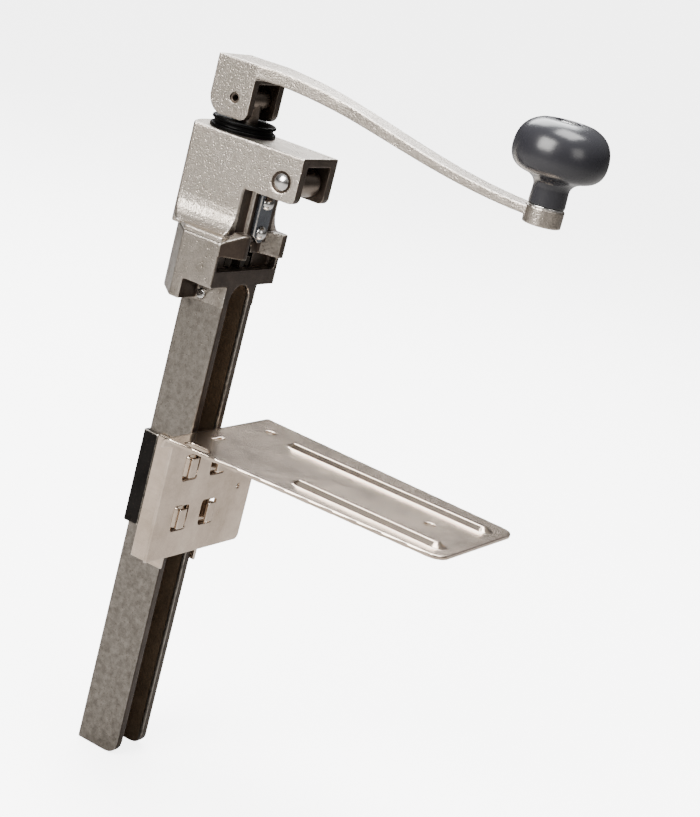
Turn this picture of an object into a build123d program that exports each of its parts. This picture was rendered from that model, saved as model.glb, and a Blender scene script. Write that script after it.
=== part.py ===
"""Table-edge manual can opener: stamped base, sliding cast bar and head, crank with knob.

The origin is on the base plate's flat underside, which lies on the table top, straight ahead of the
bar. +Z is up, and -Y points away from the bar, over the table. All sizes are in millimetres.
"""

import os
from math import asin, cos, radians, sin, sqrt

from build123d import *

os.makedirs("parts", exist_ok=True)

# ---- driving dimensions -------------------------------------------------------------------------
spindle_y = 125.0  # spindle axis, behind the origin; everything on the bar is placed from it

# sliding bar
bar_width = 32.0
bar_depth = 31.4
bar_wall = 6.0
groove_top = 93.5  # top of the groove's round end, under the gear housing
bar_foot = -223.5
bar_front_offset = 26.0  # bar front face ahead of the spindle axis
slide_gap = 0.35
foot_corner = 8.0  # rounding of the foot's front corner

# gear housing, cast in one with the bar
gear_clearance = 0.9  # round the gear, in its cavity
gear_floor_gap = 0.8
gear_roof_gap = 1.2  # above the gear when it is lifted
gear_well = 7.0  # for the washer and the screw's head
housing_wall = 2.0  # behind the gear cavity
housing_side_wall = 3.2  # outside the head screws' counterbores
housing_top = 121.0
housing_front_bottom = 93.0
housing_rear_bottom = 80.0
prow_length = 10.0
prow_half = 21.0
prow_rise = 7.0
prow_drop = 8.0  # below the housing's top
step_setback = 5.0  # step in the underside, ahead of the spindle axis
pocket_cheek = 3.0  # width of the cheeks' tips, beside the rim pocket
pocket_margin = 4.0  # between the knife and the pocket's sides
pocket_depth = 3.0  # behind the bar's front

# head casting
head_top = 182.3
head_back = 28.0
head_back_half = 23.2
head_side_back = 19.2
nose_front = 59.1
nose_half = 18.7
nose_bottom = 154.0
throat_face = 24.0
throat_bottom = 134.0
flare_height = 16.0
flare_steps = 5
flange_thickness = 3.5
pad_depth = 3.0
pad_half = 10.0
nose_wall = 6.3
roof_wall = 5.3
pad_drop = 12.0  # the knife pad runs on below the throat
nose_corner = 4.0

# the two screws that pull the head down on the housing
head_screw_wall = 0.357  # between the gear cavity and the counterbores
head_screw_play = 0.3
head_screw_offset = 10.0  # ahead of the spindle axis
head_screw_radius = 2.0
head_screw_reach = 5.5  # into the head
head_screw_head = 4.0
head_screw_depth = 4.5  # from the housing's underside to the seat
head_screw_cap = 4.0
head_screw_socket = 2.0
socket_depth = 2.0

# stop pin across the bar, under the housing
stop_pin_z = 83.5
stop_pin_offset = 9.0
stop_pin_radius = 3.0
stop_pin_proud = 1.2

# spindle, bush and drive gear
spindle_radius = 8.0
bush_wall = 2.5
bush_recess = 6.0  # bush's foot above the housing
running_gap = 0.05
gear_radius = 22.3
gear_root = 17.5
gear_teeth = 12
tooth_width = 8.6
tooth_angle = 68.0
gear_hex = 5.5
gear_thickness = 6.0
gear_bottom = 103.8
lift = 6.8
washer_radius = 9.0
washer_thickness = 1.6
gear_screw_head = 4.2
gear_screw_radius = 2.5
gear_screw_hex = 4.6
gear_screw_reach = 14.0
eye_radius = 8.2
eye_half = 10.6

# knife and roller
knife_half = 7.2
knife_thickness = 3.0
knife_top = 151.6
knife_tip = 121.7
knife_screw_z = (146.3, 127.8)
knife_screw_radius = 2.25
knife_screw_depth = 9.0
knife_screw_head = 4.6
knife_screw_cap = 3.4
knife_bevel = 4.5  # height of the knife's pointed foot
knife_point = 1.5
roller_radius = 9.0
roller_half = 10.2
roller_pin_radius = 3.5
roller_pin_head = 5.2
roller_pin_cap = 2.1
roller_seat_wall = 1.2  # round the pin's head
roller_seat_depth = 0.5
roller_z = 165.0
roller_setback = 11.5  # roller axis behind the nose's front face

# collar, crank and knob
collar_radius = 19.6
collar_height = 6.6
collar_groove = 1.4  # depth of the groove between the two rings
collar_ring = 1.8
collar_slope = 0.6
clevis_half = 16.5
clevis_ear = 5.5
clevis_back = 17.6
clevis_front = 11.8
clevis_below_pin = 12.2
clevis_corner = 11.0
clevis_front_corner = 6.0
bridge_thickness = 11.5
pin_z = 202.4
pin_radius = 3.2
pin_wall = 1.1
pin_recess = 0.8
clevis_top = 225.0
crank_radius = 206.0
arm_half_root = 12.0
arm_half_tip = 8.5
arm_root_thickness = 8.0
arm_tip_thickness = 5.0
arm_drop = 27.5  # the S-bend lowers the arm by this much from clevis to boss
arm_shoulder = 14.0  # from the clevis to the arm's own width
arm_taper = 45.0
boss_radius = 11.0
boss_bottom = 188.6
boss_top = 198.6
knob_radius = 27.0
knob_height = 47.0
knob_neck_radius = 10.5
stud_radius = 4.0
stud_head_radius = 5.7
stud_head_height = 2.6
knob_recess_radius = 7.2
knob_recess_depth = 3.2
knob_washer_thickness = 1.0

# base plate
plate_thickness = 2.5
plate_near_rear = 50.0  # the plate's corners, each side of the bar's middle plane
plate_near_outer = 43.0
plate_far_rear = 58.0
plate_far_outer = 47.5
plate_outer = 98.0  # outer edge, ahead of the origin
apron_gap = 2.6  # apron's rear face ahead of the bar front; the channel web stands in it
apron_drop = 82.0
plate_corner = 9.0
apron_corner = 4.0
apron_near = 40.0  # the apron is cut back on the near side, below its bend
bend_radius = 4.5
rib_half_gap = 28.0
rib_width = 12.0
rib_height = 3.0
rib_slope = 50.0
rib_rear = {-1: 14.0, 1: 56.0}  # where each side's rib starts
rib_outer = 91.0
screw_hole_radius = 3.2
rear_screw_x = 34.5
slot_x = 43.0
rear_screw_inset = 24.0  # rear screws ahead of the bar front
outer_screw_inset = 33.0  # outer screw behind the outer edge
slot_length = 17.0
lance_length = 10.0  # lanced slit beside the bar
lance_width = 3.0
lance_shift = 5.0  # behind the rear screws
apron_hole_radius = 1.6
apron_hole_inset = 15.0
apron_hole_z = -42.0
window_corner = 1.5
window_inset = 1.85  # middle of the windows, inside the channel's walls
window_width = 15.0
window_height = 16.0
window_z = (-21.5, -55.5)

# sleeve
sheet = 2.2
channel_top = -9.0
channel_foot = -91.0
web_thickness = 2.0
web_inset = 4.0  # the channel's web ends this far above the apron's lower edge
seam_offset = 22.0  # where the channel's walls end and the strap's begin, behind the bar front
strap_top = -10.0
strap_foot = -71.0
tab_height = 13.0
tab_lip = 7.0

# ---- values worked out from them ----------------------------------------------------------------
bar_half = bar_width / 2
bar_front = spindle_y - bar_front_offset
bar_back = bar_front + bar_depth
cavity_floor = gear_bottom - gear_floor_gap
cavity_top = gear_bottom + gear_thickness + lift + gear_roof_gap
cavity_radius = gear_radius + gear_clearance
housing_rear_radius = cavity_radius + housing_wall
head_screw_bore = head_screw_head + head_screw_play
head_screw_x = sqrt((cavity_radius + head_screw_wall + head_screw_bore) ** 2 - head_screw_offset**2)
housing_half = head_screw_x + head_screw_bore + housing_side_wall
throat_y = spindle_y - throat_face
pad_y = throat_y - pad_depth
nose_y = spindle_y - nose_front
roller_y = nose_y + roller_setback
knife_front = pad_y - knife_thickness
sleeve_inner = bar_half + slide_gap
window_x = sleeve_inner - window_inset
apron_rear = bar_front - apron_gap
apron_front = apron_rear - plate_thickness
web_rear = bar_front - slide_gap
web_front = web_rear - web_thickness
wall_back = bar_front + seam_offset
knob_y = spindle_y - crank_radius
collar_bottom = head_top + 0.3
collar_top = collar_bottom + collar_height
knob_bottom = boss_top + knob_washer_thickness + 0.3
gear_top = gear_bottom + gear_thickness
stud_head_z = knob_bottom + knob_height - knob_recess_depth + 0.3
roller_seat = roller_pin_head + roller_seat_wall
throat_share = (throat_face + head_side_back) / (nose_front + head_side_back)
root_half = head_back_half - (head_back_half - nose_half) * throat_share
flare_rim = housing_half - head_back_half
flare_front = (housing_half - head_back_half + (head_back_half - nose_half) * 0.55) / flare_rim
flare_side = (head_side_back - 8.0) / flare_rim
flare_back = (head_back - housing_rear_radius - 0.6) / flare_rim
head_screw_places = [(side * head_screw_x, spindle_y - head_screw_offset) for side in (-1, 1)]
head_screw_seat = housing_front_bottom + head_screw_depth


def cap_mid(rim, height):
    """Radius and depth, below the top, of the middle of a round cap's arc."""
    sphere = (rim * rim + height * height) / (2 * height)
    half = asin(min(1.0, rim / sphere)) / 2
    return sphere * sin(half), sphere * (1 - cos(half))


def housing_outline():
    """Plan of the gear housing: square front corners and a round back about the spindle."""
    with BuildSketch() as outline:
        with Locations((0, spindle_y)):
            Circle(housing_rear_radius)
        with Locations((0, spindle_y - bar_front_offset / 2 + 1)):
            Rectangle(2 * housing_half, bar_front_offset + 2)
        make_hull()
        with Locations((0, bar_front)):
            Rectangle(4 * housing_half, 2 * housing_half, align=(Align.CENTER, Align.MAX), mode=Mode.SUBTRACT)
    return outline.sketch


def head_outline(grow=0.0):
    """Plan of the head: round back, sides tapering to the throat. grow widens it sideways."""
    front_half = root_half + grow * flare_front
    side_y = spindle_y + head_side_back - grow * flare_side
    back_y = spindle_y + head_back - grow * flare_back
    with BuildSketch() as outline:
        with BuildLine():
            left = Line((-front_half, throat_y), (-head_back_half - grow, side_y))
            right = Line((front_half, throat_y), (head_back_half + grow, side_y))
            ThreePointArc(left @ 1, (0, back_y), right @ 1)
            Line(left @ 0, right @ 0)
        make_face()
    return outline.sketch


# ---- base ---------------------------------------------------------------------------------------
with BuildPart() as base_plate:
    with BuildSketch():
        with BuildLine():
            Polyline(
                (-plate_near_rear, apron_rear),
                (-plate_near_outer, -plate_outer),
                (plate_far_outer, -plate_outer),
                (plate_far_rear, apron_rear),
                close=True,
            )
        make_face()
        fillet(vertices().group_by(Axis.Y)[0], plate_corner)
    extrude(amount=plate_thickness)
    with BuildSketch(Plane.XZ.offset(-apron_rear)):
        with Locations((-plate_near_rear, plate_thickness)):
            Rectangle(
                plate_near_rear + plate_far_rear,
                apron_drop + plate_thickness,
                align=(Align.MIN, Align.MAX),
            )
        fillet(vertices().group_by(Axis.Y)[0], apron_corner)
    extrude(amount=plate_thickness)
    fillet(edges().filter_by(Axis.X).group_by(Axis.Y)[-1].sort_by(Axis.Z)[-1], bend_radius)
    with BuildSketch(Plane.XY.offset(plate_thickness)) as ribs:
        for side, rear in rib_rear.items():
            with Locations((side * rib_half_gap, (rear - rib_outer) / 2)):
                SlotOverall(rear + rib_outer, rib_width, rotation=90)
    extrude(amount=rib_height, taper=rib_slope)
    with BuildSketch() as screw_holes:
        with Locations((rear_screw_x, bar_front - rear_screw_inset), (0, outer_screw_inset - plate_outer)):
            Circle(screw_hole_radius)
        with Locations((-slot_x, bar_front - rear_screw_inset)):
            SlotOverall(slot_length, 2 * screw_hole_radius, rotation=90)
        with Locations((-window_x, bar_front - rear_screw_inset + lance_shift)):
            Rectangle(lance_length, lance_width)
    extrude(amount=plate_thickness, mode=Mode.SUBTRACT)
    with BuildSketch(Plane.XZ.offset(-apron_rear)) as windows:
        with Locations(*[(x, z) for x in (-window_x, window_x) for z in window_z]):
            RectangleRounded(window_width, window_height, window_corner)
        with Locations((plate_far_rear - apron_hole_inset, apron_hole_z)):
            Circle(apron_hole_radius)
        with Locations((-plate_near_rear, -bend_radius)):
            Rectangle(plate_near_rear - apron_near, apron_drop, align=(Align.MIN, Align.MAX))
    extrude(amount=plate_thickness, mode=Mode.SUBTRACT)
base_plate.part.label = "base_plate"

with BuildPart() as sleeve_channel:
    with BuildSketch(Plane.XY.offset(channel_foot)):
        with BuildLine():
            Polyline(
                (-sleeve_inner, wall_back),
                (-sleeve_inner, web_rear),
                (sleeve_inner, web_rear),
                (sleeve_inner, wall_back),
                (sleeve_inner + sheet, wall_back),
                (sleeve_inner + sheet, web_front),
                (-sleeve_inner - sheet, web_front),
                (-sleeve_inner - sheet, wall_back),
                close=True,
            )
        make_face()
    extrude(amount=channel_top - channel_foot)
    with BuildSketch(Plane.XY.offset(channel_foot)) as below_web:
        with Locations((0, web_rear)):
            Rectangle(2 * sleeve_inner, sheet + 1, align=(Align.CENTER, Align.MAX))
    extrude(amount=-channel_foot - apron_drop + web_inset, mode=Mode.SUBTRACT)
    for z in window_z:
        for side, lip in ((-1, 1), (1, -1)):
            with BuildSketch(Plane.XY.offset(z - tab_height / 2)):
                with BuildLine():
                    x0 = side * (sleeve_inner + sheet)
                    x1 = side * sleeve_inner
                    x2 = x1 + lip * (tab_lip - sheet)
                    Polyline(
                        (x0, web_front),
                        (x0, apron_front - sheet),
                        (x2, apron_front - sheet),
                        (x2, apron_front),
                        (x1, apron_front),
                        (x1, web_front),
                        close=True,
                    )
                make_face()
            extrude(amount=tab_height)
sleeve_channel.part.label = "sleeve_channel"

with BuildPart() as rear_strap:
    strap_back = bar_back + slide_gap
    with BuildSketch(Plane.XY.offset(strap_foot)):
        with BuildLine():
            Polyline(
                (-sleeve_inner, wall_back),
                (-sleeve_inner - sheet, wall_back),
                (-sleeve_inner - sheet, strap_back + sheet),
                (sleeve_inner + sheet, strap_back + sheet),
                (sleeve_inner + sheet, wall_back),
                (sleeve_inner, wall_back),
                (sleeve_inner, strap_back),
                (-sleeve_inner, strap_back),
                close=True,
            )
        make_face()
        fillet(vertices().group_by(Axis.Y)[-1], sheet * 0.9)
    extrude(amount=strap_top - strap_foot)
rear_strap.part.label = "rear_strap"

# ---- bar with gear housing ----------------------------------------------------------------------
with BuildPart() as slide_bar:
    with BuildSketch(Plane.XY.offset(bar_foot)):
        with Locations((0, (bar_front + bar_back) / 2)):
            RectangleRounded(bar_width, bar_depth, 1.2)
    extrude(amount=housing_top - bar_foot - 20)
    with BuildSketch(Plane.XY.offset(housing_rear_bottom)):
        add(housing_outline())
    extrude(amount=housing_top - housing_rear_bottom)
    # step in the underside: the front two thirds of the housing ends higher
    with BuildSketch(Plane.XY.offset(housing_rear_bottom)):
        for side in (-1, 1):
            with Locations((side * (bar_half + housing_half / 2), spindle_y - step_setback)):
                Rectangle(housing_half, housing_half, align=(Align.CENTER, Align.MAX))
    extrude(amount=housing_front_bottom - housing_rear_bottom, mode=Mode.SUBTRACT)
    # prow: two cheeks either side of the rim pocket
    with BuildSketch(Plane.XY.offset(housing_top - prow_drop)):
        with BuildLine():
            Polyline(
                (-housing_half, bar_front),
                (-prow_half, bar_front - prow_length),
                (prow_half, bar_front - prow_length),
                (housing_half, bar_front),
                close=True,
            )
        make_face()
    extrude(amount=prow_drop + prow_rise)
    for side in (-1, 1):
        with BuildSketch(Plane.XZ.offset(-bar_front)):
            with BuildLine():
                Polyline(
                    (side * (housing_half + 1), housing_top - 0.5),
                    (side * (housing_half + 1), housing_top + prow_rise + 1),
                    (side * (prow_half - 1), housing_top + prow_rise + 1),
                    close=True,
                )
            make_face()
        extrude(amount=prow_length + 1, mode=Mode.SUBTRACT)
    # rim pocket, V-shaped in plan, open to the front and the top
    with BuildSketch(Plane.XY.offset(gear_bottom)):
        with BuildLine():
            Polyline(
                (-prow_half + pocket_cheek, bar_front - prow_length - 1),
                (-knife_half - pocket_margin, bar_front + pocket_depth),
                (knife_half + pocket_margin, bar_front + pocket_depth),
                (prow_half - pocket_cheek, bar_front - prow_length - 1),
                close=True,
            )
        make_face()
    extrude(amount=40, mode=Mode.SUBTRACT)
    # gear cavity, and the slot it shows through at the front
    with BuildSketch(Plane.XY.offset(cavity_floor)):
        with Locations((0, spindle_y)):
            Circle(cavity_radius)
    extrude(amount=cavity_top - cavity_floor, mode=Mode.SUBTRACT)
    with BuildSketch(Plane.XY.offset(cavity_floor)):
        with Locations((0, bar_front)):
            Rectangle(2 * housing_half - 5, 14)
    extrude(amount=9.8, mode=Mode.SUBTRACT)
    with BuildSketch(Plane.XY.offset(cavity_top - 0.01)):
        with Locations((0, spindle_y)):
            Circle(spindle_radius + bush_wall)
    extrude(amount=housing_top - cavity_top + 0.02, mode=Mode.SUBTRACT)
    # well for the gear's washer and screw head
    with BuildSketch(Plane.XY.offset(cavity_floor)):
        with Locations((0, spindle_y)):
            Circle(washer_radius + gear_floor_gap)
    extrude(amount=-gear_well, mode=Mode.SUBTRACT)
    # bores for the head screws, from below, and for the stop pin
    with BuildSketch(Plane.XY.offset(housing_front_bottom)) as screw_heads:
        with Locations(*head_screw_places):
            Circle(head_screw_bore)
    extrude(amount=head_screw_seat - housing_front_bottom, mode=Mode.SUBTRACT)
    with BuildSketch(Plane.XY.offset(housing_front_bottom)) as screw_shanks:
        with Locations(*head_screw_places):
            Circle(head_screw_radius + 0.1)
    extrude(amount=housing_top - housing_front_bottom, mode=Mode.SUBTRACT)
    with BuildSketch(Plane.YZ.offset(-bar_half - 1)):
        with Locations((spindle_y - stop_pin_offset, stop_pin_z)):
            Circle(stop_pin_radius)
    extrude(amount=bar_width + 2, mode=Mode.SUBTRACT)
    # groove down the bar, with a round top
    with BuildSketch(Plane.XZ.offset(-bar_front + 1)):
        with Locations((0, (bar_foot + groove_top) / 2 - bar_half)):
            SlotOverall(groove_top - bar_foot + 2 * bar_half, bar_width - 2 * bar_wall, rotation=90)
    extrude(amount=-(bar_depth - bar_wall + 1), mode=Mode.SUBTRACT)
    # round the front corner of the foot
    with BuildSketch(Plane.YZ.offset(-bar_half - 1)):
        with BuildLine():
            above = (bar_front, bar_foot + foot_corner)
            behind = (bar_front + foot_corner, bar_foot)
            mid = foot_corner * (1 - sqrt(0.5))
            ThreePointArc(above, (bar_front + mid, bar_foot + mid), behind)
            Polyline(
                behind,
                (behind[0], bar_foot - 1),
                (bar_front - 1, bar_foot - 1),
                (bar_front - 1, above[1]),
                above,
            )
        make_face()
    extrude(amount=bar_width + 2, mode=Mode.SUBTRACT)
slide_bar.part.label = "slide_bar"


# ---- head casting -------------------------------------------------------------------------------
with BuildPart() as head_casting:
    with BuildSketch(Plane.XY.offset(housing_top)):
        add(housing_outline())
    extrude(amount=flange_thickness)
    # concave flare from the flange up to the body: a quarter round in even steps
    for step in range(flare_steps):
        low, high = (radians(90 * (step + n) / flare_steps) for n in (0, 1))
        for angle in (low, high):
            level = housing_top + flange_thickness + flare_height * (1 - cos(angle))
            with BuildSketch(Plane.XY.offset(level)):
                add(head_outline(flare_rim * (1 - sin(angle))))
        loft(ruled=True)
    with BuildSketch(Plane.XY.offset(housing_top)):
        add(head_outline())
    extrude(amount=head_top - housing_top)
    # nose, tapering in plan, with rounded lower front corners
    with BuildSketch(Plane.XY.offset(nose_bottom)):
        with BuildLine():
            Polyline(
                (-root_half, throat_y),
                (-nose_half, nose_y),
                (nose_half, nose_y),
                (root_half, throat_y),
                close=True,
            )
        make_face()
    extrude(amount=head_top - nose_bottom)
    fillet(edges().filter_by(Axis.X).group_by(Axis.Y)[0].sort_by(Axis.Z)[0], nose_corner)
    # pad that the knife is screwed to
    with BuildSketch(Plane.XY.offset(throat_bottom - pad_drop)):
        with Locations((0, throat_y)):
            Rectangle(2 * pad_half, pad_depth, align=(Align.CENTER, Align.MAX))
    extrude(amount=nose_bottom - throat_bottom + pad_drop)
    # roller pocket, open at the front and the underside
    with BuildSketch(Plane.YZ.offset(-nose_half + nose_wall)):
        with Locations((nose_y - 1, nose_bottom - 1)):
            Rectangle(
                roller_setback + roller_radius + 2,
                head_top - roof_wall - nose_bottom + 1,
                align=(Align.MIN, Align.MIN),
            )
    extrude(amount=2 * (nose_half - nose_wall), mode=Mode.SUBTRACT)
    # bores: spindle bush, roller pin with its seat, knife screws
    with BuildSketch(Plane.XY.offset(housing_top - 1)):
        with Locations((0, spindle_y)):
            Circle(spindle_radius + bush_wall)
    extrude(amount=head_top - housing_top + 2, mode=Mode.SUBTRACT)
    with BuildSketch(Plane.YZ.offset(-nose_half - 3)):
        with Locations((roller_y, roller_z)):
            Circle(roller_pin_radius)
    extrude(amount=2 * nose_half + 6, mode=Mode.SUBTRACT)
    with BuildSketch(Plane.XZ.offset(-pad_y)):
        with Locations(*[(0, z) for z in knife_screw_z]):
            Circle(knife_screw_radius)
    extrude(amount=-knife_screw_depth, mode=Mode.SUBTRACT)
    with BuildSketch(Plane.YZ.offset(nose_half - roller_seat_depth)) as far_seat:
        with Locations((roller_y, roller_z)):
            Circle(roller_seat)
    extrude(amount=4, mode=Mode.SUBTRACT)
    with BuildSketch(Plane.YZ.offset(-nose_half + roller_seat_depth)) as near_seat:
        with Locations((roller_y, roller_z)):
            Circle(roller_seat)
    extrude(amount=-4, mode=Mode.SUBTRACT)
    with BuildSketch(Plane.XY.offset(housing_top)) as screw_threads:
        with Locations(*head_screw_places):
            Circle(head_screw_radius)
    extrude(amount=head_screw_reach, mode=Mode.SUBTRACT)
head_casting.part.label = "head_casting"


with BuildPart() as head_screws:
    for place in head_screw_places:
        with BuildSketch(Plane.XY.offset(head_screw_seat - head_screw_cap)):
            with Locations(place):
                Circle(head_screw_head)
                RegularPolygon(head_screw_socket, 6, mode=Mode.SUBTRACT)
        extrude(amount=socket_depth)
        with BuildSketch(Plane.XY.offset(head_screw_seat - head_screw_cap + socket_depth)):
            with Locations(place):
                Circle(head_screw_head)
        extrude(amount=head_screw_cap - socket_depth)
        with BuildSketch(Plane.XY.offset(head_screw_seat)):
            with Locations(place):
                Circle(head_screw_radius)
        extrude(amount=housing_top + head_screw_reach - head_screw_seat)
head_screws.part.label = "head_screws"

with BuildPart() as spindle_bush:
    with BuildSketch(Plane.XY.offset(housing_top + bush_recess)):
        with Locations((0, spindle_y)):
            Circle(spindle_radius + bush_wall)
            Circle(spindle_radius + running_gap, mode=Mode.SUBTRACT)
    extrude(amount=head_top - housing_top - bush_recess)
spindle_bush.part.label = "spindle_bush"

with BuildPart() as stop_pin:
    with BuildSketch(Plane.YZ.offset(-bar_half - stop_pin_proud)):
        with Locations((spindle_y - stop_pin_offset, stop_pin_z)):
            Circle(stop_pin_radius)
    extrude(amount=bar_width + 2 * stop_pin_proud)
    chamfer(edges().filter_by(GeomType.CIRCLE), 0.5)
stop_pin.part.label = "stop_pin"

with BuildPart() as knife:
    with BuildSketch(Plane.XZ.offset(-pad_y)):
        with BuildLine():
            Polyline(
                (-knife_half, knife_top),
                (-knife_half, knife_tip + knife_bevel),
                (-knife_point, knife_tip),
                (knife_point, knife_tip),
                (knife_half, knife_tip + knife_bevel),
                (knife_half, knife_top),
                close=True,
            )
        make_face()
        with Locations(*[(0, z) for z in knife_screw_z]):
            Circle(knife_screw_radius + 0.15, mode=Mode.SUBTRACT)
    extrude(amount=knife_thickness)
    chamfer(edges().filter_by(Axis.Z).group_by(Axis.Y)[0], 0.8)
knife.part.label = "knife"

with BuildPart() as knife_screws:
    cap_radius, cap_depth = cap_mid(knife_screw_head, knife_screw_cap)
    screw_tip = pad_y + knife_screw_depth - 0.5
    for z in knife_screw_z:
        with BuildSketch(Plane.YZ):
            with BuildLine():
                crown = (knife_front - knife_screw_cap, z)
                rim = (knife_front, z + knife_screw_head)
                ThreePointArc(crown, (crown[0] + cap_depth, z + cap_radius), rim)
                Polyline(
                    rim,
                    (knife_front, z + knife_screw_radius - 0.05),
                    (screw_tip, z + knife_screw_radius - 0.05),
                    (screw_tip, z),
                    crown,
                )
            make_face()
        revolve(axis=Axis((0, 0, z), (0, 1, 0)))
knife_screws.part.label = "knife_screws"

with BuildPart() as roller_pin:
    cap_radius, cap_depth = cap_mid(roller_pin_head, roller_pin_cap)
    with BuildSketch(Plane.XY.offset(roller_z)):
        with BuildLine():
            seat = nose_half + roller_seat_depth
            end = seat + roller_pin_cap
            shaft = roller_y + roller_pin_radius
            rim = roller_y + roller_pin_head
            ThreePointArc((end, roller_y), (end - cap_depth, roller_y + cap_radius), (seat, rim))
            Polyline((seat, rim), (seat, shaft), (-seat, shaft), (-seat, rim))
            ThreePointArc((-seat, rim), (-end + cap_depth, roller_y + cap_radius), (-end, roller_y))
            Line((-end, roller_y), (end, roller_y))
        make_face()
    revolve(axis=Axis((0, roller_y, roller_z), (1, 0, 0)))
roller_pin.part.label = "roller_pin"

with BuildPart() as roller:
    with BuildSketch(Plane.YZ.offset(-roller_half)):
        with Locations((roller_y, roller_z)):
            Circle(roller_radius)
            Circle(roller_pin_radius + 0.08, mode=Mode.SUBTRACT)
    extrude(amount=2 * roller_half)
    chamfer(edges().filter_by(GeomType.CIRCLE).group_by(SortBy.RADIUS)[-1], 0.8)
roller.part.label = "roller"

# ---- collar, spindle and gear -------------------------------------------------------------------
with BuildPart() as collar:
    with BuildSketch(Plane.XZ.offset(-spindle_y)):
        with BuildLine():
            bore = spindle_radius + running_gap
            Polyline(
                (collar_radius - collar_groove, collar_bottom + collar_ring + collar_slope),
                (collar_radius + collar_slope, collar_bottom + collar_ring),
                (collar_radius + collar_slope, collar_bottom),
                (bore, collar_bottom),
                (bore, collar_top),
                (collar_radius - collar_slope, collar_top),
                (collar_radius, collar_top - collar_slope),
                (collar_radius, collar_top - collar_ring),
                (collar_radius - collar_groove, collar_top - collar_ring - collar_slope),
                close=True,
            )
        make_face()
    revolve(axis=Axis((0, spindle_y, 0), (0, 0, 1)))
collar.part.label = "collar"

with BuildPart() as spindle:
    with BuildSketch(Plane.XY.offset(gear_bottom)):
        with Locations((0, spindle_y)):
            RegularPolygon(gear_hex, 6)
    extrude(amount=gear_thickness)
    with BuildSketch(Plane.XY.offset(gear_top)):
        with Locations((0, spindle_y)):
            Circle(spindle_radius)
    extrude(amount=pin_z - gear_top)
    with BuildSketch(Plane.YZ.offset(-eye_half)):
        with Locations((spindle_y, pin_z)):
            Circle(eye_radius)
    extrude(amount=2 * eye_half)
    with BuildSketch(Plane.YZ.offset(-eye_half)):
        with Locations((spindle_y, pin_z)):
            Circle(pin_radius + running_gap)
    extrude(amount=2 * eye_half, mode=Mode.SUBTRACT)
    with BuildSketch(Plane.XY.offset(gear_bottom)):
        with Locations((0, spindle_y)):
            Circle(gear_screw_radius)
    extrude(amount=gear_screw_reach + 1, mode=Mode.SUBTRACT)
spindle.part.label = "spindle"

with BuildPart() as drive_gear:
    with BuildSketch(Plane.XY.offset(gear_bottom)):
        with Locations((0, spindle_y)):
            Circle(gear_root)
            RegularPolygon(gear_hex, 6, mode=Mode.SUBTRACT)
        with Locations((0, spindle_y)):
            with PolarLocations(gear_root - 1, gear_teeth):
                tooth_height = gear_radius - gear_root + 1
                Trapezoid(tooth_width, tooth_height, tooth_angle, rotation=-90, align=(Align.CENTER, Align.MIN))
    extrude(amount=gear_thickness)
drive_gear.part.label = "drive_gear"

with BuildPart() as gear_washer:
    with BuildSketch(Plane.XY.offset(gear_bottom - washer_thickness)):
        with Locations((0, spindle_y)):
            Circle(washer_radius)
            Circle(gear_screw_radius + 0.2, mode=Mode.SUBTRACT)
    extrude(amount=washer_thickness)
gear_washer.part.label = "gear_washer"

with BuildPart() as gear_screw:
    with BuildSketch(Plane.XY.offset(gear_bottom - washer_thickness - gear_screw_head)):
        with Locations((0, spindle_y)):
            RegularPolygon(gear_screw_hex, 6)
    extrude(amount=gear_screw_head)
    with BuildSketch(Plane.XY.offset(gear_bottom - washer_thickness)):
        with Locations((0, spindle_y)):
            Circle(gear_screw_radius)
    extrude(amount=washer_thickness + gear_screw_reach)
gear_screw.part.label = "gear_screw"

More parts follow.
